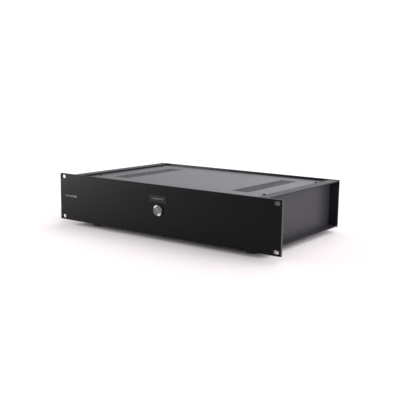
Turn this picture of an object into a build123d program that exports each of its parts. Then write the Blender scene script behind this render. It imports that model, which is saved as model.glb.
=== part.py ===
from build123d import *
import math
import os

# Rack power amplifier, two units high, millimetres.
# +X is the viewer's right facing the front, +Y is the rear, +Z is up.
# The origin is under the middle of the whole object, on the plane that the feet stand on.

# Front panel, to the 19-inch rack standard
panel_width = 482.6
panel_height = 88.1
panel_thickness = 4.0
rack_spacing_x = 465.1
rack_spacing_z = 76.2
rack_slot_length = 10.3
rack_slot_width = 6.8
panel_edge_break = 0.4

# Chassis
chassis_width = 422.6
chassis_depth = 269.0
end_plate_thickness = 2.0
rail_inset = 0.9
rail_recess = 18.3
rail_wall = 2.0
ledge_width = 15.0
ledge_thickness = 2.4
boss_size = 8.0
cover_thickness = 1.5
cover_recess = 2.8
cover_gap = 0.4
cover_corner = 1.5

# Cover vents
vent_inset = 59.0
vent_width = 34.0
vent_start = 51.0
vent_length = 174.0
vent_slot = 2.9
vent_pitch = 5.0

# Feet
foot_clearance = 9.0
foot_top_r = 12.0
foot_bottom_r = 10.0
foot_inset = 19.0
foot_front = 31.0
foot_rear = 50.0
foot_bore_r = 5.0
foot_web = 4.0
foot_rim_r = 1.0

# Fasteners: shank radius, head radius, head height
m3_shank = 1.5
m3_head = 2.8
m3_head_height = 1.6
m3_length = 9.0
m4_shank = 2.0
m4_head = 4.0
m4_head_height = 2.4
m3_socket_r = 1.0
m3_socket_depth = 1.0
m4_socket_r = 1.5
m4_socket_depth = 1.4
m3_past_ledge = 1.5
m4_past_cover = 2.0
screw_clearance = 0.2
cover_screw_front = 48.5
cover_screw_rear = 35.5
cover_screw_inset = 10.0
stud_inset = 41.0
stud_z = 26.0
stud_length = 14.0
stud_root = 2.0
stud_end_chamfer = 0.4
m4_nut_flats = 7.0
m4_nut_height = 3.2

# Fits
running_gap = 0.06
sliding_gap = 0.1

# How far a cutting shape runs past the face it opens
past = 1.0

# Push button, on the middle of the front panel
bezel_rim = 1.85
bezel_height = 2.0
bezel_bevel = 0.8
button_seal_height = 0.6
button_seal_inset = 0.6
button_barrel_r = 7.95
button_barrel_length = 22.0
button_barrel_wall = 1.15
halo_width = 1.0
halo_depth = 2.0
halo_recess = 0.3
cap_recess = 0.1
cap_rim_r = 0.5
button_travel = 2.0
button_flange_height = 2.0
button_stem_r = 2.0
button_stem_short = 1.0
button_wall = 2.0
button_chamber = 14.0
button_nut_wall = 1.55
button_nut_height = 3.0
button_spring_inset = 2.6
button_spring_wire = 0.35
button_spring_turns = 5
switch_block_width = 15.0
switch_block_length = 16.0
switch_block_corner = 1.5
switch_tab_x = 4.0
switch_tab_length = 6.0
switch_tab_width = 2.8
switch_tab_thickness = 0.8

# Badge above the button
badge_width = 36.0
badge_height = 12.2
badge_thickness = 0.8
badge_z = 64.1
badge_corner = 1.0

# Mains module on the rear panel
mains_inset = 51.0
module_width = 50.2
module_height = 48.0
module_flange = 2.6
module_corner = 3.0
moulded_edge = 0.5
module_body_width = 28.0
module_body_height = 44.8
module_depth = 30.0
module_screw_x = 20.0
inlet_width = 24.2
inlet_height = 16.6
inlet_depth = 17.0
inlet_bottom = -21.0
inlet_chamfer = 4.0
blade_thickness = 2.0
blade_width = 4.0
blade_spacing = 7.0
blade_offset = 2.0
blade_recess = 3.6
blade_tab = 8.0
blade_tip = 0.6
drawer_bottom = -2.2
drawer_height = 8.0
drawer_slot_depth = 26.6
drawer_length = 21.0
drawer_proud = 0.8
drawer_travel = 16.0
drawer_lip = 1.4
drawer_lip_width = 10.0
drawer_lip_height = 1.4
drawer_lip_drop = 0.8
drawer_floor = 0.9
fuse_r = 2.6
fuse_length = 20.0
fuse_cap = 5.5
fuse_glass_inset = 1.0
fuse_glass_step = 0.25
fuse_depth = 10.5
rocker_width = 20.0
rocker_r = 6.15
rocker_z = 14.7
rocker_pivot_depth = 2.2
rocker_half_throw = 10.0
rocker_corner_angle = 25.0
rocker_skirt_angle = 10.0
rocker_tail = 2.2
rocker_tail_depth = 3.6
rocker_valley = 1.6
rocker_well = 9.0
rocker_pin_r = 1.2
rocker_pin_length = 1.2

# Balanced input sockets
input_left_inset = 41.0
input_right_offset = 27.0
socket_width = 26.0
socket_height = 31.0
socket_flange = 2.0
socket_corner = 3.0
socket_edge = 0.4
socket_body_r = 11.8
socket_body_depth = 22.0
socket_bore_r = 9.6
socket_bore_depth = 15.0
insert_r = 7.6
insert_recess = 1.0
insert_tail = 2.0
contact_circle_r = 4.3
contact_r = 1.7
contact_bore_r = 1.1
contact_tail = 6.0
contact_bore_depth = 12.0
contact_recess = 0.6
socket_screw_x = 9.5
socket_screw_z = 12.0
latch_width = 7.0
latch_height = 3.2
latch_bottom = 10.7
latch_proud = 1.6
latch_reach = 5.0
latch_end_room = 0.5
latch_travel = 1.5

# Speaker posts
post_left_offset = 22.0
post_right_offset = 18.0
post_spacing = 19.0
post_flange_r = 8.0
post_flange_height = 3.0
post_flange_rim = 0.8
post_bush_r = 5.4
post_washer_height = 3.0
stud_r = 3.4
stud_out = 20.0
stud_in = 20.0
banana_r = 2.05
banana_depth = 15.0
wire_hole_r = 1.4
wire_hole_offset = 1.0
collar_r = 6.6
collar_height = 2.0
collar_edge = 0.3
cap_r = 8.0
cap_length = 16.4
cap_lip = 1.3
cap_end_r = 1.0
cap_base_edge = 0.4
cap_mouth_r = 2.8
cap_flutes = 12
cap_flute_r = 1.2
cap_flute_start = 2.0
post_travel = 6.0
post_nut_flats = 10.0
post_nut_height = 4.0

# Boards
board_thickness = 1.6
standoff_height = 8.0
standoff_r = 2.75
standoff_inset = 5.0
board_margin = 17.0
supply_start = 52.0
supply_width = 98.0
supply_length = 150.0
amp_margin = 21.0
amp_gap_share = 50 / 74
amp_start = 130.0
amp_width = 86.0
amp_length = 86.0
spreader_thickness = 3.0
core_width = 42.0
core_length = 36.0
core_height = 34.0
core_leg = 9.0
core_clearance = 0.2
bobbin_wall = 1.0
bobbin_overhang = 5.0
bobbin_corner = 2.0
supply_cap_r = 11.0
supply_cap_height = 38.0
supply_cap_rim = 1.0
supply_cap_x = 16.0
supply_cap_y = 50.0
coil_major_r = 9.0
coil_minor_r = 4.0
coil_x = 18.0

# Wires
mains_wire_r = 1.4
speaker_wire_r = 1.5
input_wire_r = 2.0
switch_wire_r = 0.8
mains_wire_lead = 13.0
mains_wire_drop = 7.0
mains_wire_stagger = 6.0
amp_wire_lead = 12.0
amp_wire_drop = 12.0
switch_wire_lead = 22.0
switch_wire_entry = 30.0
switch_wire_run = 24.0
switch_wire_dip = 4.0
switch_wire_drop = 14.0
bend_share = 0.45

# Derived places
bezel_proud = button_seal_height + bezel_height
post_reach = post_flange_height + collar_height + 2 * running_gap + cap_length
overall_depth = bezel_proud + chassis_depth + post_reach
front_y = -overall_depth / 2 + bezel_proud
rear_y = front_y + chassis_depth
base_z = foot_clearance
mid_z = base_z + panel_height / 2
half_chassis = chassis_width / 2
web_out = half_chassis - rail_recess
web_in = web_out - rail_wall
rail_low = base_z + rail_inset
rail_high = base_z + panel_height - rail_inset
ledge_top = rail_high - cover_recess - cover_thickness
ledge_bottom = rail_low + cover_recess + cover_thickness
boss_x = web_in - boss_size / 2
boss_top_z = ledge_top - ledge_thickness - boss_size / 2
boss_bottom_z = ledge_bottom + ledge_thickness + boss_size / 2
rail_front_y = front_y + panel_thickness + end_plate_thickness
rail_rear_y = rear_y - end_plate_thickness
cover_half = web_in - cover_gap
vent_centre_x = web_in - vent_inset
stud_x = web_in - stud_inset
foot_x = web_in - foot_inset
cover_front_y = rail_front_y + cover_gap
cover_rear_y = rail_rear_y - cover_gap
cover_screw_x = web_in - cover_screw_inset
cover_screw_ys = (front_y + cover_screw_front, rear_y - cover_screw_rear)
floor_z = ledge_bottom
cover_under_z = ledge_bottom - cover_thickness
amp_board_z = floor_z + spreader_thickness + standoff_height
supply_board_z = floor_z + standoff_height
inlet_mid_z = mid_z + inlet_bottom + inlet_height / 2
supply_x = -(web_in - board_margin - supply_width / 2)
amp_left_x = web_in - amp_margin - amp_width / 2
supply_edge = supply_x + supply_width / 2
amp_gap = amp_left_x - amp_width / 2 - supply_edge - amp_width
amp_right_x = supply_edge + amp_gap_share * amp_gap + amp_width / 2
mains_x = -(web_in - mains_inset)
input_left_x = web_in - input_left_inset
input_right_x = amp_right_x - input_right_offset
post_left_x = amp_left_x - post_left_offset
post_right_x = amp_right_x + post_right_offset
button_bore_r = button_barrel_r - button_barrel_wall
halo_inner_r = button_bore_r - halo_width
bezel_r = button_barrel_r + bezel_rim
button_nut_flats = 2 * (button_barrel_r + button_nut_wall)
button_spring_r = button_bore_r - button_spring_inset


def block(x0, x1, y0, y1, z0, z1):
    """Box between two corners."""
    size = (x1 - x0, y1 - y0, z1 - z0)
    return Pos((x0 + x1) / 2, (y0 + y1) / 2, (z0 + z1) / 2) * Box(*size)


def rod_y(x, z, y0, y1, radius):
    """Round rod along Y."""
    return Pos(x, (y0 + y1) / 2, z) * Rot(90, 0, 0) * Cylinder(radius, y1 - y0)


def rod_z(x, y, z0, z1, radius):
    """Round rod along Z."""
    return Pos(x, y, (z0 + z1) / 2) * Cylinder(radius, z1 - z0)


def rod_x(y, z, x0, x1, radius):
    """Round rod along X."""
    return Pos((x0 + x1) / 2, y, z) * Rot(0, 90, 0) * Cylinder(radius, x1 - x0)


def prism_y(points, y0, y1):
    """Outline in X and Z, drawn out along Y."""
    outline = Polyline([(x, y0, z) for x, z in points], close=True)
    return extrude(make_face(outline), amount=y1 - y0, dir=(0, 1, 0))


def hex_y(x, z, y0, y1, flats):
    """Hexagonal bar along Y, given its size across flats."""
    corner = flats / math.sqrt(3)
    points = [
        (x + corner * math.cos(math.radians(60 * i)), z + corner * math.sin(math.radians(60 * i)))
        for i in range(6)
    ]
    return prism_y(points, y0, y1)


def round_plate_y(x, z, width, height, corner, y0, y1):
    """Plate facing Y with rounded corners."""
    plate = block(x - width / 2, x + width / 2, y0, y1, z - height / 2, z + height / 2)
    return fillet(plate.edges().filter_by(Axis.Y), corner)


def mirrored(shape):
    """The same piece for the other side."""
    return mirror(shape, about=Plane.YZ)


def four_corners(x, z):
    """Places left and right, above and below the middle height."""
    return [(sx * x, mid_z + sz * z) for sx in (-1, 1) for sz in (-1, 1)]


def rack_slots():
    slots = []
    for x, z in four_corners(rack_spacing_x / 2, rack_spacing_z / 2):
        slots.append(
            round_plate_y(
                x, z, rack_slot_length, rack_slot_width, rack_slot_width / 2 - 0.01,
                front_y - past, front_y + panel_thickness + past,
            )
        )
    return slots


def front_panel():
    half = panel_width / 2
    panel = block(-half, half, front_y, front_y + panel_thickness, base_z, base_z + panel_height)
    panel = chamfer(panel.faces().sort_by(Axis.Y)[0].edges(), panel_edge_break)
    panel -= rack_slots()
    back = front_y + panel_thickness
    panel -= rod_y(0, mid_z, front_y - past, back + past, button_barrel_r + screw_clearance)
    panel -= [rod_y(x, z, back - stud_root, back + past, m4_shank) for x, z in four_corners(stud_x, stud_z)]
    return panel


def front_panel_studs():
    back = front_y + panel_thickness
    studs = []
    for x, z in four_corners(stud_x, stud_z):
        stud = rod_y(x, z, back - stud_root, back + stud_length, m4_shank)
        studs.append(chamfer(stud.edges().sort_by(Axis.Y)[-1], stud_end_chamfer))
    return studs


def front_panel_nuts():
    start = front_y + panel_thickness + end_plate_thickness
    nuts = []
    for x, z in four_corners(stud_x, stud_z):
        nut = hex_y(x, z, start, start + m4_nut_height, m4_nut_flats)
        nuts.append(nut - rod_y(x, z, start - past, start + m4_nut_height + past, m4_shank))
    return nuts


def boss_places():
    return [(sx * boss_x, z) for sx in (-1, 1) for z in (boss_bottom_z, boss_top_z)]


def countersink_y(x, z, face_y, side, clearance=0.0):
    """Cone of a countersunk M3 head: wide at face_y, narrowing towards side * Y."""
    cone = Cone(m3_shank + clearance, m3_head + clearance, m3_head_height)
    centre = face_y + side * m3_head_height / 2
    return Pos(x, centre, z) * Rot(90 * side, 0, 0) * cone


def countersunk_screw_y(x, z, face_y, side, length):
    """Countersunk screw whose head is flush with face_y and whose shank runs along side * Y."""
    start = face_y + side * m3_head_height
    end = face_y + side * length
    shank = rod_y(x, z, min(start, end), max(start, end), m3_shank)
    screw = countersink_y(x, z, face_y, side) + shank
    inner = face_y + side * m3_socket_depth
    return screw - rod_y(x, z, min(face_y, inner), max(face_y, inner), m3_socket_r)


def sub_panel():
    start = front_y + panel_thickness
    end = start + end_plate_thickness
    plate = block(-half_chassis, half_chassis, start, end, rail_low, rail_high)
    hole = button_nut_flats / math.sqrt(3) + 2 * screw_clearance
    plate -= rod_y(0, mid_z, start - past, end + past, hole)
    stud_hole_r = m4_shank + screw_clearance
    plate -= [rod_y(x, z, start - past, end + past, stud_hole_r) for x, z in four_corners(stud_x, stud_z)]
    for x, z in boss_places():
        plate -= countersink_y(x, z, start, 1)
        plate -= rod_y(x, z, start - past, end + past, m3_shank)
    return plate


def sub_panel_screws():
    start = front_y + panel_thickness
    return [countersunk_screw_y(x, z, start, 1, m3_length) for x, z in boss_places()]


def rear_panel_screws():
    screws = []
    for x, z in boss_places():
        head = rod_y(x, z, rear_y, rear_y + m3_head_height, m3_head)
        head = fillet(head.edges().sort_by(Axis.Y)[-1], m3_head_height / 2)
        shank = rod_y(x, z, rear_y - m3_length, rear_y, m3_shank)
        socket_start = rear_y + m3_head_height - m3_socket_depth
        socket = hex_y(x, z, socket_start, rear_y + m3_head_height + past, 2 * m3_socket_r)
        screws.append(head + shank - socket)
    return screws


def rail_profile():
    """Right-hand rail's section: an outward channel with two inward ledges and screw bosses."""
    inner = web_in - ledge_width
    boss_in = web_in - boss_size
    top_under = ledge_top - ledge_thickness
    bottom_over = ledge_bottom + ledge_thickness
    return [
        (web_in, rail_low),
        (half_chassis, rail_low),
        (half_chassis, rail_low + rail_wall),
        (web_out, rail_low + rail_wall),
        (web_out, rail_high - rail_wall),
        (half_chassis, rail_high - rail_wall),
        (half_chassis, rail_high),
        (web_in, rail_high),
        (web_in, ledge_top),
        (inner, ledge_top),
        (inner, top_under),
        (boss_in, top_under),
        (boss_in, top_under - boss_size),
        (web_in, top_under - boss_size),
        (web_in, bottom_over + boss_size),
        (boss_in, bottom_over + boss_size),
        (boss_in, bottom_over),
        (inner, bottom_over),
        (inner, ledge_bottom),
        (web_in, ledge_bottom),
    ]


def right_side_rail():
    rail = prism_y(rail_profile(), rail_front_y, rail_rear_y)
    half_height = (rail_high - rail_low) / 2
    outer = [e for e in rail.edges().filter_by(Axis.Y) if e.center().X > half_chassis - 0.01]
    inner = [
        e for e in rail.edges().filter_by(Axis.Y)
        if abs(e.center().X - web_in) < 0.01 and abs(e.center().Z - mid_z) > half_height - 0.01
    ]
    rail = fillet(outer + inner, rail_wall / 4)
    depth = m3_length - end_plate_thickness + past
    for z in (boss_bottom_z, boss_top_z):
        rail -= rod_y(boss_x, z, rail_front_y - past, rail_front_y + depth, m3_shank)
        rail -= rod_y(boss_x, z, rail_rear_y - depth, rail_rear_y + past, m3_shank)
    for y in cover_screw_ys:
        rail -= rod_z(cover_screw_x, y, ledge_top - ledge_thickness - past, ledge_top + past, m3_shank)
        low = ledge_bottom - past
        rail -= rod_z(cover_screw_x, y, low, ledge_bottom + ledge_thickness + past, m3_shank)
    return rail


def cover(z0):
    """Flat cover between the rails, with two bands of vent slots and four screw holes."""
    plate = block(-cover_half, cover_half, cover_front_y, cover_rear_y, z0, z0 + cover_thickness)
    plate = fillet(plate.edges().filter_by(Axis.Z), cover_corner)
    count = int(vent_length / vent_pitch)
    slots = []
    for side in (-1, 1):
        for i in range(count):
            y = front_y + vent_start + vent_pitch * (i + 0.5)
            slot = Pos(side * vent_centre_x, y, z0 - past) * SlotOverall(vent_width, vent_slot)
            slots.append(extrude(slot, amount=cover_thickness + 2 * past, dir=(0, 0, 1)))
    plate -= slots
    holes = [
        rod_z(side * cover_screw_x, y, z0 - past, z0 + cover_thickness + past, m3_shank + screw_clearance)
        for side in (-1, 1) for y in cover_screw_ys
    ]
    return plate - holes


def cover_screws(face_z, side):
    """Button-head screws; side is +1 for heads on top and -1 for heads underneath."""
    screws = []
    for sx in (-1, 1):
        for y in cover_screw_ys:
            x = sx * cover_screw_x
            tip = face_z - side * (cover_thickness + ledge_thickness + m3_past_ledge)
            top = face_z + side * m3_head_height
            head = rod_z(x, y, min(face_z, top), max(face_z, top), m3_head)
            rim = head.edges().sort_by(Axis.Z)
            head = fillet(rim[-1] if side > 0 else rim[0], m3_head_height / 2)
            shank = rod_z(x, y, min(tip, face_z), max(tip, face_z), m3_shank)
            low = min(top - side * m3_socket_depth, top)
            high = max(top - side * m3_socket_depth, top)
            socket = Pos(x, y, low) * extrude(RegularPolygon(m3_socket_r, 6), amount=high - low)
            screws.append(head + shank - socket)
    return screws


def foot_places():
    return {
        "front_left": (-foot_x, front_y + foot_front),
        "front_right": (foot_x, front_y + foot_front),
        "rear_left": (-foot_x, rear_y - foot_rear),
        "rear_right": (foot_x, rear_y - foot_rear),
    }


def bottom_cover():
    plate = cover(cover_under_z)
    return plate - [
        rod_z(x, y, cover_under_z - past, ledge_bottom + past, m4_shank) for x, y in foot_places().values()
    ]


def foot(x, y):
    body = Pos(x, y, cover_under_z / 2) * Cone(foot_bottom_r, foot_top_r, cover_under_z)
    body = fillet(body.edges().sort_by(Axis.Z)[0], foot_rim_r)
    body -= rod_z(x, y, -past, cover_under_z - foot_web, foot_bore_r)
    return body - rod_z(x, y, 0, cover_under_z + past, m4_shank)


def foot_screws():
    screws = []
    seat = cover_under_z - foot_web
    for x, y in foot_places().values():
        head = rod_z(x, y, seat - m4_head_height, seat, m4_head)
        head = fillet(head.edges().sort_by(Axis.Z)[0], m4_head_height / 2)
        shank = rod_z(x, y, seat, ledge_bottom + m4_past_cover, m4_shank)
        hexagon = RegularPolygon(m4_socket_r, 6)
        socket = Pos(x, y, seat - m4_head_height) * extrude(hexagon, amount=m4_socket_depth)
        screws.append(head + shank - socket)
    return screws


def name_badge():
    z = base_z + badge_z
    plate = round_plate_y(0, z, badge_width, badge_height, badge_corner, front_y - badge_thickness, front_y)
    return chamfer(plate.faces().sort_by(Axis.Y)[0].edges(), badge_thickness / 3)


def button_seal():
    ring = rod_y(0, mid_z, front_y - button_seal_height, front_y, bezel_r - button_seal_inset)
    return ring - rod_y(0, mid_z, front_y - past, front_y + past, button_barrel_r)


def button_housing():
    seat = front_y - button_seal_height
    face = seat - bezel_height
    barrel_end = seat + button_barrel_length
    bezel = rod_y(0, mid_z, face, seat, bezel_r)
    bezel = chamfer(bezel.edges().sort_by(Axis.Y)[0], bezel_bevel)
    housing = bezel + rod_y(0, mid_z, seat, barrel_end, button_barrel_r)
    housing -= rod_y(0, mid_z, face - past, front_y + button_chamber, button_bore_r)
    housing -= rod_y(0, mid_z, face, barrel_end, button_stem_r + running_gap)
    back_bore = front_y + button_chamber + button_wall
    return housing - rod_y(0, mid_z, back_bore, barrel_end + past, button_bore_r)


def halo_start():
    return front_y - bezel_proud + halo_recess


def button_halo():
    start = halo_start()
    ring = rod_y(0, mid_z, start, start + halo_depth, button_bore_r)
    return ring - rod_y(0, mid_z, start - past, start + halo_depth + past, halo_inner_r)


def button_cap():
    face = front_y - bezel_proud + cap_recess
    shoulder = halo_start() + halo_depth
    disc = rod_y(0, mid_z, face, shoulder, halo_inner_r - running_gap)
    disc = fillet(disc.edges().sort_by(Axis.Y)[0], cap_rim_r)
    flange = rod_y(0, mid_z, shoulder, shoulder + button_flange_height, button_bore_r - running_gap)
    stem_end = front_y + button_chamber + button_wall - button_stem_short
    stem = rod_y(0, mid_z, shoulder + button_flange_height, stem_end, button_stem_r)
    return disc + flange + stem


def button_spring():
    start = halo_start() + halo_depth + button_flange_height + button_spring_wire
    length = front_y + button_chamber - button_spring_wire - start
    coil = Helix(pitch=length / button_spring_turns, height=length, radius=button_spring_r)
    section = Plane(origin=coil @ 0, z_dir=coil % 0) * Circle(button_spring_wire)
    return Pos(0, start, mid_z) * Rot(-90, 0, 0) * sweep(section, path=coil)


def button_nut():
    start = front_y + panel_thickness
    nut = hex_y(0, mid_z, start, start + button_nut_height, button_nut_flats)
    return nut - rod_y(0, mid_z, start - past, start + button_nut_height + past, button_barrel_r)


def button_switch():
    """Contact block plugged into the barrel's rear, with two solder tabs."""
    barrel_end = front_y - button_seal_height + button_barrel_length
    spigot_start = front_y + button_chamber + button_wall + button_travel
    half = switch_block_width / 2
    end = barrel_end + switch_block_length
    body = block(-half, half, barrel_end, end, mid_z - half, mid_z + half)
    body = fillet(body.edges().filter_by(Axis.Y), switch_block_corner)
    body += rod_y(0, mid_z, spigot_start, barrel_end, button_bore_r)
    tab_half = switch_tab_thickness / 2
    tab_reach = switch_tab_width / 2
    for side in (-1, 1):
        x = side * switch_tab_x
        body += block(
            x - tab_half, x + tab_half, end, end + switch_tab_length, mid_z - tab_reach, mid_z + tab_reach
        )
    return body


def mains_module():
    body_half = module_body_width / 2
    body_low = mid_z - module_body_height / 2
    body_high = mid_z + module_body_height / 2
    face = rear_y + module_flange
    body = round_plate_y(mains_x, mid_z, module_width, module_height, module_corner, rear_y, face)
    body = chamfer(body.faces().sort_by(Axis.Y)[-1].edges(), moulded_edge)
    body += block(
        mains_x - body_half, mains_x + body_half, rear_y - module_depth, rear_y, body_low, body_high
    )
    body -= inlet_recess()
    half = inlet_width / 2
    drawer_low = mid_z + drawer_bottom
    body -= block(
        mains_x - half, mains_x + half, face - drawer_slot_depth, face + past,
        drawer_low, drawer_low + drawer_height,
    )
    body -= rocker_opening()
    body -= [blade(*place) for place in blade_places()]
    for side in (-1, 1):
        x = mains_x + side * module_screw_x
        body -= countersink_y(x, mid_z, face, -1)
        body -= rod_y(x, mid_z, rear_y - past, face + past, m3_shank)
    return body


def inlet_recess():
    half = inlet_width / 2
    low = mid_z + inlet_bottom
    high = low + inlet_height
    points = [
        (mains_x - half + inlet_chamfer, low),
        (mains_x + half - inlet_chamfer, low),
        (mains_x + half, low + inlet_chamfer),
        (mains_x + half, high),
        (mains_x - half, high),
        (mains_x - half, low + inlet_chamfer),
    ]
    face = rear_y + module_flange
    return prism_y(points, face - inlet_depth, face + past)


def rocker_opening():
    half = rocker_width / 2 + 2 * sliding_gap
    reach = rocker_r + 2 * sliding_gap
    face = rear_y + module_flange
    z = mid_z + rocker_z
    well = block(mains_x - half, mains_x + half, face - rocker_well, face + past, z - reach, z + reach)
    pin_half = half + rocker_pin_length
    pin_y = face - rocker_pivot_depth
    return well + rod_x(pin_y, z, mains_x - pin_half, mains_x + pin_half, rocker_pin_r + running_gap)


def blade_places():
    return [
        (mains_x, inlet_mid_z + blade_offset),
        (mains_x - blade_spacing, inlet_mid_z - blade_offset),
        (mains_x + blade_spacing, inlet_mid_z - blade_offset),
    ]


def blade(x, z):
    face = rear_y + module_flange
    half = blade_width / 2
    y0 = rear_y - module_depth - blade_tab
    y1 = face - blade_recess
    strip = block(x - blade_thickness / 2, x + blade_thickness / 2, y0, y1, z - half, z + half)
    return chamfer(strip.faces().sort_by(Axis.Y)[-1].edges().filter_by(Axis.Z), blade_tip)


def mains_screws():
    face = rear_y + module_flange
    return [
        countersunk_screw_y(mains_x + side * module_screw_x, mid_z, face, -1, m3_length) for side in (-1, 1)
    ]


def fuse_drawer():
    half = inlet_width / 2 - sliding_gap
    low = mid_z + drawer_bottom + sliding_gap
    high = mid_z + drawer_bottom + drawer_height - sliding_gap
    face = rear_y + module_flange + drawer_proud
    drawer = block(mains_x - half, mains_x + half, face - drawer_length, face, low, high)
    drawer = chamfer(drawer.faces().sort_by(Axis.Y)[-1].edges(), moulded_edge)
    lip_half = drawer_lip_width / 2
    lip_top = high - drawer_lip_drop
    drawer += block(
        mains_x - lip_half, mains_x + lip_half, face - drawer_proud, face + drawer_lip,
        lip_top - drawer_lip_height, lip_top,
    )
    pocket_y = face - fuse_depth
    slack = fuse_r + sliding_gap
    pocket_half = fuse_length / 2 + sliding_gap
    return drawer - block(
        mains_x - pocket_half, mains_x + pocket_half, pocket_y - slack, pocket_y + slack,
        low + drawer_floor, high + past,
    )


def mains_fuse():
    y = rear_y + module_flange + drawer_proud - fuse_depth
    z = mid_z + drawer_bottom + drawer_height / 2
    half = fuse_length / 2
    glass_half = half - fuse_glass_inset
    glass = rod_x(y, z, mains_x - glass_half, mains_x + glass_half, fuse_r - fuse_glass_step)
    caps = [
        rod_x(y, z, mains_x - half, mains_x - half + fuse_cap, fuse_r),
        rod_x(y, z, mains_x + half - fuse_cap, mains_x + half, fuse_r),
    ]
    return glass + caps


def rocker_paddle():
    """Paddle whose ends ride on a circle round its pivot, resting in the off position."""
    pivot_y = rear_y + module_flange - rocker_pivot_depth
    z = mid_z + rocker_z
    tilt = math.radians(rocker_corner_angle)
    corner = (rocker_r * math.cos(tilt), rocker_r * math.sin(tilt))
    skirt = math.radians(rocker_skirt_angle)
    back = (rocker_r * math.cos(skirt), -rocker_r * math.sin(skirt))

    def at(w, u):
        return (mains_x, pivot_y + u, z + w)

    outline = [
        Line(at(0, rocker_valley), at(corner[0], corner[1])),
        ThreePointArc(at(corner[0], corner[1]), at(rocker_r, 0), at(back[0], back[1])),
        Polyline([
            at(back[0], back[1]), at(rocker_tail, -rocker_tail_depth),
            at(-rocker_tail, -rocker_tail_depth), at(-back[0], back[1]),
        ]),
        ThreePointArc(at(-back[0], back[1]), at(-rocker_r, 0), at(-corner[0], corner[1])),
        Line(at(-corner[0], corner[1]), at(0, rocker_valley)),
    ]
    face = make_face(outline)
    half = rocker_width / 2
    paddle = extrude(face, amount=half, dir=(1, 0, 0)) + extrude(face, amount=half, dir=(-1, 0, 0))
    pin_half = half + 2 * sliding_gap + rocker_pin_length - sliding_gap
    paddle += rod_x(pivot_y, z, mains_x - pin_half, mains_x + pin_half, rocker_pin_r)
    return paddle.rotate(Axis((mains_x, pivot_y, z), (1, 0, 0)), -rocker_half_throw)


def input_shell(x):
    face = rear_y + socket_flange
    shell = round_plate_y(x, mid_z, socket_width, socket_height, socket_corner, rear_y, face)
    shell = chamfer(shell.faces().sort_by(Axis.Y)[-1].edges(), socket_edge)
    shell += rod_y(x, mid_z, rear_y - socket_body_depth, rear_y, socket_body_r)
    shell -= rod_y(x, mid_z, face - socket_bore_depth, face + past, socket_bore_r)
    shell -= rod_y(x, mid_z, rear_y - socket_body_depth - past, face, insert_r)
    half = latch_width / 2
    low = mid_z + latch_bottom
    slot_end = rear_y - latch_reach - latch_travel - latch_end_room
    shell -= block(
        x - half - sliding_gap, x + half + sliding_gap, slot_end, face + past,
        low - sliding_gap, low + latch_height + sliding_gap,
    )
    for sx, sz in ((-1, 1), (1, -1)):
        screw = (x + sx * socket_screw_x, mid_z + sz * socket_screw_z)
        shell -= countersink_y(*screw, face, -1)
        shell -= rod_y(*screw, rear_y - past, face + past, m3_shank)
    return shell


def contact_places(x):
    angles = [math.radians(degrees) for degrees in (30, 150, 270)]
    return [(x + contact_circle_r * math.cos(a), mid_z + contact_circle_r * math.sin(a)) for a in angles]


def input_insert(x):
    end = rear_y + socket_flange - insert_recess
    start = rear_y - socket_body_depth - insert_tail
    insert = rod_y(x, mid_z, start, end, insert_r)
    insert = chamfer(insert.edges().sort_by(Axis.Y)[-1], socket_edge)
    return insert - [rod_y(cx, cz, start - past, end + past, contact_r) for cx, cz in contact_places(x)]


def input_contacts():
    end = rear_y + socket_flange - insert_recess - contact_recess
    start = rear_y - socket_body_depth - insert_tail - contact_tail
    contacts = []
    for x in (input_left_x, input_right_x):
        for cx, cz in contact_places(x):
            tube = rod_y(cx, cz, start, end, contact_r)
            contacts.append(tube - rod_y(cx, cz, end - contact_bore_depth, end + past, contact_bore_r))
    return contacts


def input_screws():
    face = rear_y + socket_flange
    return [
        countersunk_screw_y(x + sx * socket_screw_x, mid_z + sz * socket_screw_z, face, -1, m3_length)
        for x in (input_left_x, input_right_x) for sx, sz in ((-1, 1), (1, -1))
    ]


def input_latch(x):
    half = latch_width / 2
    low = mid_z + latch_bottom
    face = rear_y + socket_flange
    tab = block(x - half, x + half, rear_y - latch_reach, face + latch_proud, low, low + latch_height)
    return chamfer(tab.faces().sort_by(Axis.Y)[-1].edges(), moulded_edge)


def post_places():
    return {
        "left_black": post_left_x - post_spacing / 2,
        "left_red": post_left_x + post_spacing / 2,
        "right_black": post_right_x - post_spacing / 2,
        "right_red": post_right_x + post_spacing / 2,
    }


def post_insulators():
    """Each post has an outer bush and an inner one, meeting inside the rear panel."""
    inside = rear_y - end_plate_thickness
    middle = rear_y - end_plate_thickness / 2
    pieces = []
    for x in post_places().values():
        outer = rod_y(x, mid_z, rear_y, rear_y + post_flange_height, post_flange_r)
        outer = fillet(outer.edges().sort_by(Axis.Y)[-1], post_flange_rim)
        outer += rod_y(x, mid_z, middle, rear_y, post_bush_r)
        inner = rod_y(x, mid_z, inside - post_washer_height, inside, post_flange_r)
        inner += rod_y(x, mid_z, inside, middle, post_bush_r)
        bore_start = inside - post_washer_height - past
        bore = rod_y(x, mid_z, bore_start, rear_y + post_flange_height + past, stud_r + running_gap)
        pieces += [outer - bore, inner - bore]
    return pieces


def post_studs():
    """Brass studs with a socket for a 4 mm plug and a cross hole for bare wire."""
    studs = []
    end = rear_y + stud_out
    for x in post_places().values():
        stud = rod_y(x, mid_z, rear_y - stud_in, end, stud_r)
        stud = chamfer(stud.edges().filter_by(GeomType.CIRCLE), stud_end_chamfer)
        stud -= rod_y(x, mid_z, end - banana_depth, end + past, banana_r)
        hole_y = rear_y + post_flange_height + wire_hole_offset + wire_hole_r
        stud -= rod_z(x, hole_y, mid_z - 2 * stud_r, mid_z + 2 * stud_r, wire_hole_r)
        studs.append(stud)
    return studs


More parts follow.
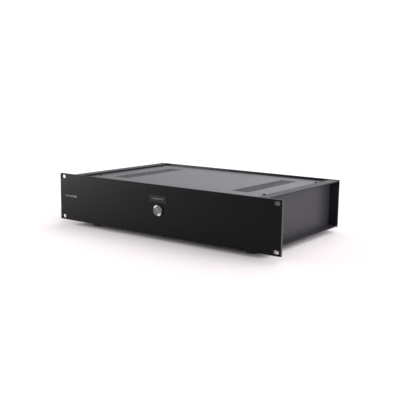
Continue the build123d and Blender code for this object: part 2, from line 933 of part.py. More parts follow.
def post_nuts():
    end = rear_y - end_plate_thickness - post_washer_height
    nuts = []
    for x in post_places().values():
        nut = hex_y(x, mid_z, end - post_nut_height, end, post_nut_flats)
        nuts.append(nut - rod_y(x, mid_z, end - post_nut_height - past, end + past, stud_r))
    return nuts


def collar_start():
    return rear_y + post_flange_height + running_gap


def post_collar(x):
    start = collar_start()
    ring = rod_y(x, mid_z, start, start + collar_height, collar_r)
    ring = chamfer(ring.edges(), collar_edge)
    return ring - rod_y(x, mid_z, start - past, start + collar_height + past, stud_r + running_gap)


def post_cap(x):
    start = collar_start() + collar_height + running_gap
    end = start + cap_length
    cap = rod_y(x, mid_z, start, end, cap_r)
    cap = fillet(cap.edges().sort_by(Axis.Y)[-1], cap_end_r)
    cap = chamfer(cap.edges().sort_by(Axis.Y)[0], cap_base_edge)
    cap -= rod_y(x, mid_z, start - past, end - cap_lip, stud_r + running_gap)
    cap -= rod_y(x, mid_z, start, end + past, cap_mouth_r)
    reach = cap_r + cap_flute_r / 3
    flutes = [
        rod_y(
            x + reach * math.cos(2 * math.pi * i / cap_flutes),
            mid_z + reach * math.sin(2 * math.pi * i / cap_flutes),
            start + cap_flute_start, end + past, cap_flute_r,
        )
        for i in range(cap_flutes)
    ]
    return cap - flutes


def rear_panel():
    plate = block(-half_chassis, half_chassis, rail_rear_y, rear_y, base_z, base_z + panel_height)
    plate = chamfer(plate.faces().sort_by(Axis.Y)[-1].edges(), panel_edge_break)
    a, b = rail_rear_y - past, rear_y + past
    plate -= [rod_y(x, z, a, b, m3_shank) for x, z in boss_places()]
    half = module_body_width / 2 + screw_clearance
    high = module_body_height / 2 + screw_clearance
    plate -= block(mains_x - half, mains_x + half, a, b, mid_z - high, mid_z + high)
    plate -= [rod_y(mains_x + side * module_screw_x, mid_z, a, b, m3_shank) for side in (-1, 1)]
    for x in (input_left_x, input_right_x):
        plate -= rod_y(x, mid_z, a, b, socket_body_r + screw_clearance)
        notch = latch_width / 2 + 2 * screw_clearance
        top = mid_z + latch_bottom + latch_height + 2 * screw_clearance
        plate -= block(x - notch, x + notch, a, b, mid_z, top)
        for sx, sz in ((-1, 1), (1, -1)):
            plate -= rod_y(x + sx * socket_screw_x, mid_z + sz * socket_screw_z, a, b, m3_shank)
    plate -= [rod_y(x, mid_z, a, b, post_bush_r + running_gap) for x in post_places().values()]
    return plate


def amp_places():
    return (amp_left_x, amp_right_x)


def corner_places(x, start, width, length):
    """Fixing points near the corners of a board."""
    across = width / 2 - standoff_inset
    return [
        (x + sx * across, front_y + start + along)
        for sx in (-1, 1) for along in (standoff_inset, length - standoff_inset)
    ]


def board(x, start, width, length, z):
    plate = block(
        x - width / 2, x + width / 2, front_y + start, front_y + start + length, z, z + board_thickness
    )
    holes = [
        rod_z(px, py, z - past, z + board_thickness + past, m3_shank)
        for px, py in corner_places(x, start, width, length)
    ]
    return plate - holes


def heat_spreaders():
    plates = []
    for x in amp_places():
        half = amp_width / 2
        plates.append(
            block(x - half, x + half, front_y + amp_start, front_y + amp_start + amp_length,
                  floor_z, floor_z + spreader_thickness)
        )
    return plates


def board_standoffs():
    posts = []
    for x, y in corner_places(supply_x, supply_start, supply_width, supply_length):
        posts.append(rod_z(x, y, floor_z, supply_board_z, standoff_r))
    for x in amp_places():
        for px, py in corner_places(x, amp_start, amp_width, amp_length):
            posts.append(rod_z(px, py, floor_z + spreader_thickness, amp_board_z, standoff_r))
    return posts


def power_transformer():
    """Ferrite core with a closed frame, and the wound bobbin on its middle leg."""
    z = supply_board_z + board_thickness
    y = front_y + supply_start + supply_length / 2
    half_w = core_width / 2
    half_l = core_length / 2
    core = block(supply_x - half_w, supply_x + half_w, y - half_l, y + half_l, z, z + core_height)
    window = half_w - core_leg
    leg = core_leg / 2 + bobbin_wall
    for side in (-1, 1):
        x0, x1 = sorted((supply_x + side * leg, supply_x + side * window))
        core -= block(
            x0, x1, y - half_l - past, y + half_l + past, z + core_leg / 2, z + core_height - core_leg / 2
        )
    low = z + core_leg / 2 + core_clearance
    high = z + core_height - core_leg / 2 - core_clearance
    reach = window - core_clearance
    ends = half_l + bobbin_overhang
    bobbin = block(supply_x - reach, supply_x + reach, y - ends, y + ends, low, high)
    hole = block(supply_x - leg, supply_x + leg, y - half_l, y + half_l, low - past, high + past)
    bobbin = fillet(bobbin.edges().filter_by(Axis.Z), bobbin_corner)
    return [core, bobbin - hole]


def supply_capacitors():
    z = supply_board_z + board_thickness
    y_mid = front_y + supply_start + supply_length / 2
    cans = []
    for sx in (-1, 1):
        for along in (-supply_cap_y, supply_cap_y):
            x = supply_x + sx * supply_cap_x
            can = rod_z(x, y_mid + along, z, z + supply_cap_height, supply_cap_r)
            cans.append(fillet(can.edges().sort_by(Axis.Z)[-1], supply_cap_rim))
    return cans


def output_coils():
    z = amp_board_z + board_thickness + coil_minor_r
    y = front_y + amp_start + amp_length / 2
    places = [x + sx * coil_x for x in amp_places() for sx in (-1, 1)]
    return [Pos(x, y, z) * Torus(coil_major_r, coil_minor_r) for x in places]


def wire(points, radius):
    """Round wire on straight runs joined by tangent arcs, each as large as its runs allow."""
    vectors = [Vector(*p) for p in points]
    radii = []
    for a, b, c in zip(vectors, vectors[1:], vectors[2:]):
        turn = math.radians((b - a).get_angle(c - b))
        run = min((b - a).length, (c - b).length)
        radii.append(bend_share * run / math.tan(turn / 2))
    path = FilletPolyline(*points, radius=radii)
    print("wire bends", [round(r, 1) for r in radii])
    start = Plane(origin=path @ 0, z_dir=path % 0)
    return sweep(start * Circle(radius), path=path)


def mains_wiring():
    board_top = supply_board_z + board_thickness
    tab_end = rear_y - module_depth - blade_tab
    board_end = front_y + supply_start + supply_length - standoff_inset
    wires = []
    for i, (x, z) in enumerate(blade_places()):
        drop = board_end - mains_wire_stagger * (i % 2)
        low = z - mains_wire_drop
        wires.append(
            wire([(x, tab_end, z), (x, drop + mains_wire_lead, z), (x, drop, low), (x, drop, board_top)],
                 mains_wire_r)
        )
    return wires


def signal_wiring():
    """Speaker leads, screened input cables and the push button's two leads."""
    amp_end = front_y + amp_start + amp_length - 2 * standoff_inset
    top = amp_board_z + board_thickness
    turn = amp_end + amp_wire_lead
    low = mid_z - amp_wire_drop
    stud_end = rear_y - stud_in
    wires = [
        wire([(x, stud_end, mid_z), (x, turn, mid_z), (x, amp_end, low), (x, amp_end, top)], speaker_wire_r)
        for x in post_places().values()
    ]
    tail = rear_y - socket_body_depth - insert_tail
    wires += [
        wire([(x, tail, mid_z), (x, turn, mid_z), (x, amp_end, low), (x, amp_end, top)], input_wire_r)
        for x in (input_left_x, input_right_x)
    ]
    tab_y = front_y - button_seal_height + button_barrel_length + switch_block_length + switch_tab_length
    board_x = supply_edge - 2 * standoff_inset
    board_y = front_y + supply_start + 2 * standoff_inset + switch_wire_entry
    for side in (-1, 1):
        x = side * switch_tab_x
        y = board_y + side * switch_tab_x
        wires.append(
            wire(
                [(x, tab_y, mid_z), (x, tab_y + switch_wire_lead, mid_z),
                 (board_x + switch_wire_run, y, mid_z - switch_wire_dip),
                 (board_x, y, mid_z - switch_wire_drop), (board_x, y, supply_board_z + board_thickness)],
                switch_wire_r,
            )
        )
    return wires


def save(name, shape):
    piece = Compound(children=list(shape)) if isinstance(shape, list) else shape
    export_step(piece, os.path.join("parts", name + ".step"))


os.makedirs("parts", exist_ok=True)
right_rail = right_side_rail()
nodes = {
    "front_panel": front_panel(),
    "sub_panel": sub_panel(),
    "rear_panel": rear_panel(),
    "right_side_rail": right_rail,
    "left_side_rail": mirrored(right_rail),
    "top_cover": cover(ledge_top),
    "bottom_cover": bottom_cover(),
    "front_panel_studs": front_panel_studs(),
    "front_panel_nuts": front_panel_nuts(),
    "sub_panel_screws": sub_panel_screws(),
    "rear_panel_screws": rear_panel_screws(),
    "top_cover_screws": cover_screws(ledge_top + cover_thickness, 1),
    "bottom_cover_screws": cover_screws(cover_under_z, -1),
    "foot_screws": foot_screws(),
    "name_badge": name_badge(),
    "button_housing": button_housing(),
    "button_halo": button_halo(),
    "button_cap": button_cap(),
    "button_seal": button_seal(),
    "button_nut": button_nut(),
    "button_spring": button_spring(),
    "button_switch": button_switch(),
    "mains_module": mains_module(),
    "mains_blades": [blade(*place) for place in blade_places()],
    "mains_screws": mains_screws(),
    "fuse_drawer": fuse_drawer(),
    "mains_fuse": mains_fuse(),
    "rocker_paddle": rocker_paddle(),
    "left_input_shell": input_shell(input_left_x),
    "right_input_shell": input_shell(input_right_x),
    "input_inserts": [input_insert(input_left_x), input_insert(input_right_x)],
    "input_contacts": input_contacts(),
    "input_screws": input_screws(),
    "left_input_latch": input_latch(input_left_x),
    "right_input_latch": input_latch(input_right_x),
    "post_insulators": post_insulators(),
    "post_studs": post_studs(),
    "post_nuts": post_nuts(),
    "supply_board": board(supply_x, supply_start, supply_width, supply_length, supply_board_z),
    "power_transformer": power_transformer(),
    "supply_capacitors": supply_capacitors(),
    "left_amp_board": board(amp_left_x, amp_start, amp_width, amp_length, amp_board_z),
    "right_amp_board": board(amp_right_x, amp_start, amp_width, amp_length, amp_board_z),
    "heat_spreaders": heat_spreaders(),
    "output_coils": output_coils(),
    "board_standoffs": board_standoffs(),
    "mains_wiring": mains_wiring(),
    "signal_wiring": signal_wiring(),
}
for corner, (foot_px, foot_py) in foot_places().items():
    nodes[corner + "_foot"] = foot(foot_px, foot_py)
for post, post_x in post_places().items():
    nodes[post + "_collar"] = post_collar(post_x)
    nodes[post + "_cap"] = post_cap(post_x)
for node_name, node_shape in nodes.items():
    save(node_name, node_shape)
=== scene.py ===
import math
import bpy
from mathutils import Matrix, Vector


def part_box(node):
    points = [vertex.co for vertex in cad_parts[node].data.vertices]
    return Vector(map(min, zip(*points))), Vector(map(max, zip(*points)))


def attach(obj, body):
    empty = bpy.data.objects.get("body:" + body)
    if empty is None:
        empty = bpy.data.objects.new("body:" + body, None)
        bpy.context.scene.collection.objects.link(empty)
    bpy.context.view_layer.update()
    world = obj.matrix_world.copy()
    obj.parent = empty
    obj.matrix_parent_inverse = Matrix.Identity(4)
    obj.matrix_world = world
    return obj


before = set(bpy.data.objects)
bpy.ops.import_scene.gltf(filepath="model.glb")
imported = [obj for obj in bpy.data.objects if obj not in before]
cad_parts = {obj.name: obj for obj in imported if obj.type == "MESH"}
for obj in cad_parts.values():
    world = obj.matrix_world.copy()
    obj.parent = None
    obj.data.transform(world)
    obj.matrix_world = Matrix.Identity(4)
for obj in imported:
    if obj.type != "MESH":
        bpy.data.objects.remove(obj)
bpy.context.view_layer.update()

panelLow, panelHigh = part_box("front_panel")
frontY = panelLow[1]
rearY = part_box("rear_panel")[1][1]
panelBottom = panelLow[2]
midZ = (panelLow[2] + panelHigh[2]) / 2
print("frame loaded:", len(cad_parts), "nodes")


def deselectAll():
    if bpy.context.mode != "OBJECT":
        bpy.ops.object.mode_set(mode="OBJECT")
    bpy.ops.object.select_all(action="DESELECT")


# Materials

class Value:
    # one output of a shader node; arithmetic on it adds Math nodes
    def __init__(self, paint, socket):
        self.paint = paint
        self.socket = socket

    def __add__(self, other):
        return self.paint.maths("ADD", self, other)

    def __sub__(self, other):
        return self.paint.maths("SUBTRACT", self, other)

    def __rsub__(self, other):
        return self.paint.maths("SUBTRACT", other, self)

    def __mul__(self, other):
        return self.paint.maths("MULTIPLY", self, other)

    def __truediv__(self, other):
        return self.paint.maths("DIVIDE", self, other)

    def __gt__(self, other):
        return self.paint.maths("GREATER_THAN", self, other)

    def __abs__(self):
        return self.paint.maths("ABSOLUTE", self, 0.0)

    __radd__ = __add__
    __rmul__ = __mul__


class Paint:
    # a material being mixed on one Principled shader
    def __init__(self, name):
        self.material = bpy.data.materials.new(name)
        self.material.use_nodes = True
        self.tree = self.material.node_tree
        self.shader = self.tree.nodes["Principled BSDF"]
        self.place = self.node("ShaderNodeTexCoord", {}, {}, "Object")
        self.x, self.y, self.z = self.split(self.place)

    def node(self, kind, settings, inputs, output=0):
        made = self.tree.nodes.new(kind)
        for key, value in settings.items():
            if key == "stops":
                self.setStops(made.color_ramp, value)
            else:
                setattr(made, key, value)
        for key, value in inputs.items():
            self.feed(made.inputs[key], value)
        return Value(self, made.outputs[output])

    def setStops(self, ramp, stops):
        while len(ramp.elements) < len(stops):
            ramp.elements.new(1.0)
        for element, (position, colour) in zip(ramp.elements, stops):
            element.position = position
            element.color = (*colour, 1.0)

    def feed(self, socket, value):
        if isinstance(value, Value):
            self.tree.links.new(value.socket, socket)
        elif isinstance(value, tuple) and len(value) == 3 and socket.type == "RGBA":
            socket.default_value = (*value, 1.0)
        else:
            socket.default_value = value

    def maths(self, operation, a, b):
        return self.node("ShaderNodeMath", {"operation": operation}, {0: a, 1: b})

    def split(self, vector):
        made = self.tree.nodes.new("ShaderNodeSeparateXYZ")
        self.tree.links.new(vector.socket, made.inputs[0])
        return [Value(self, out) for out in made.outputs]

    def blend(self, factor, a, b):
        return self.node("ShaderNodeMix", {"data_type": "RGBA"}, {0: factor, 6: a, 7: b}, 2)

    def noise(self, scale, detail=3.0, stretch=(1.0, 1.0, 1.0)):
        spread = self.node("ShaderNodeMapping", {}, {"Vector": self.place, "Scale": stretch})
        return self.node("ShaderNodeTexNoise", {}, {"Vector": spread, "Scale": scale, "Detail": detail})

    def ease(self, value, low, high):
        # 0 below low, 1 above high
        return self.node("ShaderNodeMapRange", {"interpolation_type": "SMOOTHSTEP"},
                         {"Value": value, "From Min": low, "From Max": high})

    def bump(self, height, depth, strength=1.0):
        return self.node("ShaderNodeBump", {}, {"Height": height, "Distance": depth, "Strength": strength})

    def finish(self, **sockets):
        for name, value in sockets.items():
            self.feed(self.shader.inputs[name.replace("_", " ")], value)
        return self.material


def dress(material, *nodeNames):
    for nodeName in nodeNames:
        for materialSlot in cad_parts[nodeName].material_slots:
            materialSlot.material = material


panelFinish = {"colour": (0.0028, 0.0027, 0.0030), "roughness": 0.34, "unevenness": 0.05, "specular": 0.11,
               "grain": 5200.0, "grainDepth": 0.00001, "cloud": 14.0,
               "edge": (0.06, 0.06, 0.064), "edgeDepth": 0.0002}


def panelBlack():
    # fine blasted and black anodised, with the machined edges a shade lighter
    s = panelFinish
    paint = Paint("panelBlack")
    grain = paint.noise(s["grain"], 2.0)
    cloud = paint.noise(s["cloud"], 4.0)
    half = (panelHigh[0] - panelLow[0]) / 2
    side = abs(paint.x) > half - s["edgeDepth"]
    colour = paint.blend(side, s["colour"], s["edge"])
    return paint.finish(
        Base_Color=colour,
        Roughness=s["roughness"] + cloud * s["unevenness"] + grain * s["unevenness"],
        Specular_IOR_Level=s["specular"],
        Normal=paint.bump(grain, s["grainDepth"], 0.35),
    )


coverFinish = {"colour": (0.0045, 0.0042, 0.0054), "roughness": 0.32, "unevenness": 0.06, "specular": 0.56,
               "peel": 1500.0, "peelDepth": 0.00002, "cloud": 9.0}


def coverBlack():
    # stove-enamelled sheet with a fine orange peel
    s = coverFinish
    paint = Paint("coverBlack")
    peel = paint.noise(s["peel"], 2.0)
    cloud = paint.noise(s["cloud"], 4.0)
    return paint.finish(
        Base_Color=s["colour"],
        Roughness=s["roughness"] + cloud * s["unevenness"],
        Specular_IOR_Level=s["specular"],
        Normal=paint.bump(peel, s["peelDepth"], 0.35),
    )


# the flange colour is painted shade: the same anodised black as the web, darkened
railFinish = {"web": (0.030, 0.028, 0.032), "flange": (0.004, 0.0038, 0.0046), "flangeDepth": 0.0035,
              "roughness": 0.30, "flangeRoughness": 0.37, "specular": 0.18,
              "lines": 2600.0, "lineDepth": 0.00001, "lineRoughness": 0.08, "cloud": 12.0, "unevenness": 0.04}


def railBlack():
    # black anodised extrusion, with faint die lines along its length; the top flange is duller, and a painted shade
    # darker than the web, one black given two tones
    s = railFinish
    paint = Paint("railBlack")
    lines = paint.noise(s["lines"], 2.0, (1.0, 0.004, 1.0))
    cloud = paint.noise(s["cloud"], 4.0)
    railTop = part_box("left_side_rail")[1][2]
    flange = paint.z > railTop - s["flangeDepth"]
    base = s["roughness"] + flange * (s["flangeRoughness"] - s["roughness"])
    return paint.finish(
        # painted shade: the top flange takes a darker black than the web
        Base_Color=paint.blend(flange, s["web"], s["flange"]),
        Roughness=base + lines * s["lineRoughness"] + cloud * s["unevenness"],
        Specular_IOR_Level=s["specular"],
        Normal=paint.bump(lines, s["lineDepth"], 0.4),
    )


# the bright colours are painted highlights, the glints painted into the base colour; the dark colours are steel
# darkened to stand in for the dark room it reflects, painted reflection
steelFinish = {"bezelDark": (0.12, 0.12, 0.122), "bezelPaintedGlint": (0.78, 0.78, 0.79), "bezelRoughness": 0.14,
               "faceDark": (0.15, 0.15, 0.152), "facePaintedGlint": (0.19, 0.19, 0.192), "faceRoughness": 0.22,
               "glintLean": math.radians(32), "glintSpread": (0.66, 0.97),
               "rings": 5200.0, "ringDepth": 0.000012, "scatter": 700.0}


def turnedSteel(name, centre, dark, bright, roughness):
    # lathe-turned steel: fine rings round the axis as a bump, and a pair of opposite glints painted into the base
    # colour as a lighter tone: painted highlight
    s = steelFinish
    paint = Paint(name)
    dx = paint.x - centre[0]
    dz = paint.z - centre[1]
    square = dx * dx + dz * dz
    along = dz * math.cos(s["glintLean"]) - dx * math.sin(s["glintLean"])
    radius = paint.maths("SQRT", square, 0.0)
    rings = paint.maths("SINE", radius * s["rings"] * math.tau, 0.0)
    scatter = paint.noise(s["scatter"], 3.0)
    # painted highlight: the base colour turns lighter in two opposite sectors round the centre
    paintedGlintMask = paint.ease(along * along / square, *s["glintSpread"])
    return paint.finish(
        Base_Color=paint.blend(paintedGlintMask, dark, bright),
        Metallic=1.0,
        Roughness=roughness + scatter * 0.1,
        Normal=paint.bump(rings, s["ringDepth"], 0.3),
    )


def metal(name, colour, roughness, scratches=0.1):
    paint = Paint(name)
    scuffs = paint.noise(900.0, 4.0, (1.0, 0.15, 1.0))
    return paint.finish(
        Base_Color=paint.blend(scuffs, tuple(0.85 * c for c in colour), colour),
        Metallic=1.0,
        Roughness=roughness + scuffs * scratches,
        Normal=paint.bump(scuffs, 0.00001, 0.2),
    )


def plastic(name, colour, roughness, texture=1800.0, depth=0.00002, specular=0.5):
    # moulded plastic with a spark-eroded texture
    paint = Paint(name)
    pits = paint.noise(texture, 3.0)
    cloud = paint.noise(60.0, 3.0)
    return paint.finish(
        Base_Color=paint.blend(cloud, tuple(0.85 * c for c in colour), tuple(1.15 * c for c in colour)),
        Roughness=roughness + pits * 0.08,
        Specular_IOR_Level=specular,
        Normal=paint.bump(pits, depth, 0.4),
    )


haloFinish = {"thin": (0.10, 0.105, 0.11), "thick": (0.13, 0.135, 0.14), "milk": 300.0, "roughness": 0.18}


def haloLens():
    # milky ring that the lamp would shine through
    s = haloFinish
    paint = Paint("haloLens")
    milk = paint.noise(s["milk"], 2.0)
    return paint.finish(Base_Color=paint.blend(milk, s["thin"], s["thick"]), Roughness=s["roughness"] + milk * 0.08)


boardFinish = {"mask": (0.006, 0.055, 0.022), "track": (0.015, 0.11, 0.045), "tracks": 90.0,
               "trackDepth": 0.00003, "speck": 500.0, "roughness": 0.3}


def circuitBoard():
    # green solder mask over copper tracks
    s = boardFinish
    paint = Paint("circuitBoard")
    tracks = paint.node(
        "ShaderNodeTexBrick", {},
        {"Vector": paint.place, "Scale": s["tracks"], "Mortar Size": 0.05, "Mortar Smooth": 0.2, "Bias": 0.0}, 1,
    )
    speck = paint.noise(s["speck"], 2.0)
    return paint.finish(
        Base_Color=paint.blend(tracks, s["mask"], s["track"]),
        Roughness=s["roughness"] + speck * 0.1,
        Normal=paint.bump(tracks, s["trackDepth"], 0.5),
    )


def windings(name, colour, pitch):
    # enamelled wire wound in close turns, with painted shade in the valleys between turns
    paint = Paint(name)
    turns = paint.maths("SINE", (paint.x + paint.y) * (math.tau / pitch), 0.0)
    return paint.finish(
        # painted shade: the copper darkens to 0.3 in the valleys between turns
        Base_Color=paint.blend(paint.ease(turns, -1.0, 0.6), tuple(0.3 * c for c in colour), colour),
        Roughness=0.28 + turns * 0.04,
        Normal=paint.bump(turns, 0.0002, 0.8),
    )


def leadInsulation(name, colours, edges):
    # insulation whose colour changes at the given places across the object
    paint = Paint(name)
    colour = colours[0]
    for edge, nextColour in zip(edges, colours[1:]):
        colour = paint.blend(paint.x > edge, colour, nextColour)
    rub = paint.noise(400.0, 3.0)
    return paint.finish(Base_Color=colour, Roughness=0.36 + rub * 0.12, Normal=paint.bump(rub, 0.00001, 0.3))


rubberFinish = {"clean": (0.012, 0.012, 0.012), "dusty": (0.03, 0.029, 0.028), "dust": 120.0, "mould": 2200.0,
                "mouldDepth": 0.00004, "roughness": 0.75}


def footRubber():
    # moulded rubber with a little dust
    s = rubberFinish
    paint = Paint("footRubber")
    mould = paint.noise(s["mould"], 4.0)
    dust = paint.noise(s["dust"], 4.0)
    return paint.finish(
        Base_Color=paint.blend(paint.ease(dust, 0.4, 0.8), s["clean"], s["dusty"]),
        Roughness=s["roughness"] + mould * 0.15,
        Normal=paint.bump(mould, s["mouldDepth"], 0.6),
    )


buttonCentre = (0.0, midZ)
dress(panelBlack(), "front_panel")
dress(plastic("badgePlate", (0.0045, 0.0044, 0.005), 0.42, 3000.0, 0.00001, 0.22), "name_badge")
coverPaint = coverBlack()
dress(coverPaint, "top_cover", "bottom_cover", "rear_panel", "sub_panel")
dress(railBlack(), "left_side_rail", "right_side_rail")
dress(metal("blackScrew", (0.05, 0.05, 0.055), 0.35),
      "top_cover_screws", "bottom_cover_screws", "rear_panel_screws", "sub_panel_screws",
      "mains_screws", "input_screws")
steel = steelFinish
dress(turnedSteel("buttonBezel", buttonCentre, steel["bezelDark"], steel["bezelPaintedGlint"], steel["bezelRoughness"]),
      "button_housing")
dress(turnedSteel("buttonFace", buttonCentre, steel["faceDark"], steel["facePaintedGlint"], steel["faceRoughness"]),
      "button_cap")
dress(haloLens(), "button_halo")
dress(metal("brightNickel", (0.62, 0.61, 0.58), 0.25), "button_nut", "front_panel_nuts", "front_panel_studs",
      "post_nuts", "mains_blades", "board_standoffs", "foot_screws", "button_spring")
dress(plastic("sealRubber", (0.012, 0.012, 0.012), 0.7), "button_seal")
dress(plastic("mouldedBlack", (0.014, 0.014, 0.015), 0.42), "button_switch", "mains_module", "fuse_drawer",
      "input_inserts", "left_input_latch", "right_input_latch")
dress(plastic("glossBlack", (0.012, 0.012, 0.012), 0.2, 900.0, 0.000005), "rocker_paddle", "post_insulators",
      "left_black_cap", "right_black_cap")
dress(plastic("glossRed", (0.36, 0.012, 0.010), 0.22, 900.0, 0.000005), "left_red_cap", "right_red_cap")
dress(metal("socketShell", (0.06, 0.06, 0.062), 0.38), "left_input_shell", "right_input_shell")
gold = metal("goldPlate", (0.85, 0.62, 0.26), 0.18, 0.06)
dress(gold, "input_contacts", "post_studs")
for post in ("left_red", "left_black", "right_red", "right_black"):
    dress(gold, post + "_collar")
dress(circuitBoard(), "supply_board", "left_amp_board", "right_amp_board")
dress(plastic("ferriteGrey", (0.05, 0.05, 0.055), 0.6), "power_transformer")
dress(plastic("capacitorSleeve", (0.012, 0.014, 0.03), 0.25), "supply_capacitors")
dress(metal("plainAluminium", (0.74, 0.74, 0.75), 0.38), "heat_spreaders")
dress(windings("coilCopper", (0.55, 0.20, 0.07), 0.0011), "output_coils")
moduleLow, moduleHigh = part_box("mains_module")
mainsX = (moduleLow[0] + moduleHigh[0]) / 2
halfLeadPitch = 0.0035
dress(leadInsulation("mainsLeads", [(0.10, 0.03, 0.01), (0.10, 0.30, 0.04), (0.01, 0.05, 0.28)],
                     [mainsX - halfLeadPitch, mainsX + halfLeadPitch]), "mains_wiring")
dress(leadInsulation("signalLeads", [(0.04, 0.04, 0.042)], []), "signal_wiring")
dress(plastic("fuseGlass", (0.5, 0.5, 0.48), 0.15), "mains_fuse")
footPaint = footRubber()
for corner in ("front_left", "front_right", "rear_left", "rear_right"):
    dress(footPaint, corner + "_foot")
print("materials done")


# Lettering, all of it generic

letterDepth = 0.00008
capitalShare = 0.7  # a capital's height over the font's size


def letters(text, place, size, facing, material, bodyName="chassis", lean=0.0):
    # raised ink on a wall that faces -Y ("front") or +Y ("back"), leaning by an angle round X;
    # size is the height of a capital
    deselectAll()
    bpy.ops.object.text_add(location=(0, 0, 0))
    piece = bpy.context.object
    piece.data.body = text
    piece.data.size = size / capitalShare
    piece.data.align_x = "CENTER"
    piece.data.align_y = "CENTER"
    piece.data.extrude = letterDepth / 2
    piece.data.resolution_u = 3
    bpy.ops.object.convert(target="MESH")
    piece = bpy.context.object
    piece.name = "letters_%02d" % (len(lettering) + 1)
    turn = Matrix.Rotation(0.0 if facing == "front" else math.radians(180), 4, "Z")
    upright = Matrix.Rotation(math.radians(90), 4, "X")
    piece.matrix_world = Matrix.Translation(place) @ Matrix.Rotation(lean, 4, "X") @ turn @ upright
    bpy.ops.object.transform_apply(location=True, rotation=True, scale=True)
    piece.data.materials.clear()
    piece.data.materials.append(material)
    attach(piece, bodyName)
    lettering.append(piece)
    return piece


def ink(name, colour):
    # screen-printed ink, slightly patchy
    paint = Paint(name)
    patch = paint.noise(1500.0, 3.0)
    return paint.finish(
        Base_Color=paint.blend(patch, tuple(0.8 * c for c in colour), colour),
        Roughness=0.5 + patch * 0.1,
        Normal=paint.bump(patch, 0.00001, 0.3),
    )


lettering = []
dimInk = ink("dimInk", (0.16, 0.16, 0.165))
badgeInk = ink("badgeInk", (0.27, 0.27, 0.28))
paleInk = ink("paleInk", (0.42, 0.42, 0.43))
whiteInk = ink("whiteInk", (0.75, 0.75, 0.74))


def frontLegends():
    # a line on the badge, and a pair of words at the panel's left
    s = {"badgeRise": 0.0062, "badgeWord": 0.0020, "rowRise": 0.0463, "word": 0.0031,
         "firstX": -0.2215, "nextX": -0.2055}
    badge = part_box("name_badge")[0]
    row = panelBottom + s["rowRise"]
    letters("POWER AMPLIFIER", (0, badge[1], badge[2] + s["badgeRise"]), s["badgeWord"], "front", badgeInk)
    letters("STEREO", (s["firstX"], frontY, row), s["word"], "front", dimInk)
    letters("POWER", (s["nextX"], frontY, row), s["word"], "front", paleInk)


def rearLegends():
    # plain words beside the sockets, the posts and the mains module
    s = {"word": 0.0034, "sign": 0.0040, "gap": 0.0052}
    for nodeName, word in (("left_input_shell", "INPUT LEFT"), ("right_input_shell", "INPUT RIGHT")):
        low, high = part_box(nodeName)
        x = (low[0] + high[0]) / 2
        letters(word, (x, rearY, high[2] + s["gap"]), s["word"], "back", whiteInk)
    for side in ("left", "right"):
        redLow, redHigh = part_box(side + "_red_cap")
        blackLow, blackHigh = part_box(side + "_black_cap")
        redX = (redLow[0] + redHigh[0]) / 2
        blackX = (blackLow[0] + blackHigh[0]) / 2
        top = max(redHigh[2], blackHigh[2])
        bottom = min(redLow[2], blackLow[2])
        letters("SPEAKER " + side.upper(), ((redX + blackX) / 2, rearY, top + 2 * s["gap"]), s["word"], "back",
                whiteInk)
        letters("+", (redX, rearY, bottom - s["gap"]), s["sign"], "back", whiteInk)
        letters("-", (blackX, rearY, bottom - s["gap"]), s["sign"], "back", whiteInk)


def rockerMarks():
    # I and O on the two halves of the paddle, which rests tipped towards O
    s = {"pivotDepth": 0.0022, "valley": 0.0016, "slope": 0.1795, "rest": math.radians(-10.0),
         "away": 0.0031, "height": 0.0030}
    low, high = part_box("rocker_paddle")
    pivot = Vector(((low[0] + high[0]) / 2, moduleHigh[1] - s["pivotDepth"], (low[2] + high[2]) / 2))
    tip = Matrix.Rotation(s["rest"], 4, "X")
    for mark, side in (("I", 1.0), ("O", -1.0)):
        rise = s["valley"] + s["slope"] * s["away"]
        place = pivot + tip @ Vector((0.0, rise, side * s["away"]))
        letters(mark, place, s["height"], "back", whiteInk, "mains_rocker",
                s["rest"] - side * math.atan(s["slope"]))


frontLegends()
rearLegends()
rockerMarks()
print("lettering done:", len(lettering), "pieces")


# Stage, light and camera

# the paper floor and its painted glow away from the object, and how bright the room is behind, to the right and
# above
studio = {"floorSize": 3.6, "floorColour": (0.94, 0.90, 0.87),
          "paintedGlowStart": 0.55, "paintedGlowEnd": 1.5, "paintedGlowColour": (0.30, 0.34, 0.32),
          "backdrop": 1.05, "white": (1.0, 1.0, 1.0, 1.0), "tint": (0.955, 0.94, 1.0, 1.0),
          "back": 1.74, "right": 3.8, "top": 0.72}
lamps = {"topLight": {"place": (0.1, 0.7, 1.6), "target": (0.0, 0.0, 0.05), "size": (1.4, 1.4), "watts": 5.5},
         "leftLight": {"place": (-0.95, -0.62, 0.22), "target": (-0.2, -0.14, 0.07), "size": (0.35, 0.3),
                       "watts": 7.6}}


def makeFloor():
    deselectAll()
    bpy.ops.mesh.primitive_plane_add(size=studio["floorSize"], location=(0, 0, 0))
    floor = bpy.context.object
    floor.name = "floor"
    # painted light: well away from the object the paper glows by emission, up to the white of the room
    paint = Paint("paleFloor")
    paper = paint.noise(3.0, 2.0)
    away = paint.maths("SQRT", paint.x * paint.x + paint.y * paint.y, 0.0)
    glow = paint.ease(away, studio["paintedGlowStart"], studio["paintedGlowEnd"])
    floor.data.materials.append(paint.finish(
        Base_Color=studio["floorColour"],
        Roughness=0.75 + paper * 0.05,
        Specular_IOR_Level=0.1,
        Emission_Color=paint.blend(glow, (0.0, 0.0, 0.0), studio["paintedGlowColour"]),
        Emission_Strength=1.0,
    ))


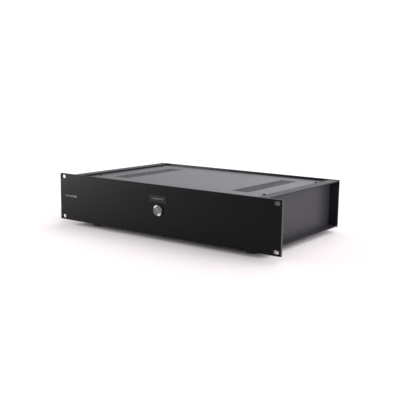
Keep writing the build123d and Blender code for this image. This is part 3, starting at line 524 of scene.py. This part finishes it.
def makeWorld():
    # plain white behind the object, and a room whose walls light it unequally
    s = studio
    world = bpy.data.worlds.new("studio")
    bpy.context.scene.world = world
    world.use_nodes = True
    tree = world.node_tree
    background = tree.nodes["Background"]
    output = tree.nodes["World Output"]

    def link(a, b):
        tree.links.new(a, b)

    def maths(operation, a, b):
        made = tree.nodes.new("ShaderNodeMath")
        made.operation = operation
        for slot, value in zip(made.inputs, (a, b)):
            if isinstance(value, float):
                slot.default_value = value
            else:
                link(value, slot)
        return made.outputs[0]

    direction = tree.nodes.new("ShaderNodeTexCoord")
    axes = tree.nodes.new("ShaderNodeSeparateXYZ")
    link(direction.outputs["Generated"], axes.inputs[0])
    total = 0.0
    for axis, name in zip(axes.outputs, ("right", "back", "top")):
        facing = maths("MAXIMUM", axis, 0.0)
        total = maths("ADD", maths("MULTIPLY", maths("MULTIPLY", facing, facing), s[name]), total)
    link(total, background.inputs["Strength"])
    backdrop = tree.nodes.new("ShaderNodeBackground")
    backdrop.inputs["Strength"].default_value = s["backdrop"]
    rays = tree.nodes.new("ShaderNodeLightPath")
    mix = tree.nodes.new("ShaderNodeMixShader")
    link(rays.outputs["Is Camera Ray"], mix.inputs[0])
    link(background.outputs[0], mix.inputs[1])
    link(backdrop.outputs[0], mix.inputs[2])
    background.inputs["Color"].default_value = s["tint"]
    backdrop.inputs["Color"].default_value = s["white"]
    link(mix.outputs[0], output.inputs["Surface"])


def softbox(name):
    s = lamps[name]
    light = bpy.data.lights.new(name, "AREA")
    light.shape = "RECTANGLE"
    light.size, light.size_y = s["size"]
    light.energy = s["watts"]
    lamp = bpy.data.objects.new(name, light)
    bpy.context.scene.collection.objects.link(lamp)
    lamp.location = s["place"]
    lamp.visible_camera = False
    lamp.rotation_euler = (Vector(s["target"]) - Vector(s["place"])).to_track_quat("-Z", "Y").to_euler()


cameraSettings = {"x": 0.7347, "ahead": 0.8962, "above": 0.2573, "yaw": 35.80, "pitch": 9.53, "roll": 0.78,
                  "lens": 61.68, "sensor": 36.0}


def makeCamera():
    s = cameraSettings
    data = bpy.data.cameras.new("camera")
    data.lens = s["lens"]
    data.sensor_width = s["sensor"]
    data.clip_end = 100.0
    camera = bpy.data.objects.new("camera", data)
    bpy.context.scene.collection.objects.link(camera)
    turn = Matrix.Rotation(math.radians(s["yaw"]), 4, "Z")
    tilt = Matrix.Rotation(math.radians(90.0 - s["pitch"]), 4, "X")
    roll = Matrix.Rotation(math.radians(s["roll"]), 4, "Z")
    place = Matrix.Translation((s["x"], frontY - s["ahead"], panelBottom + s["above"]))
    camera.matrix_world = place @ turn @ tilt @ roll
    bpy.context.scene.camera = camera


bpy.context.scene.view_settings.view_transform = "Standard"
makeFloor()
makeWorld()
for lampName in lamps:
    softbox(lampName)
makeCamera()
print("stage done")
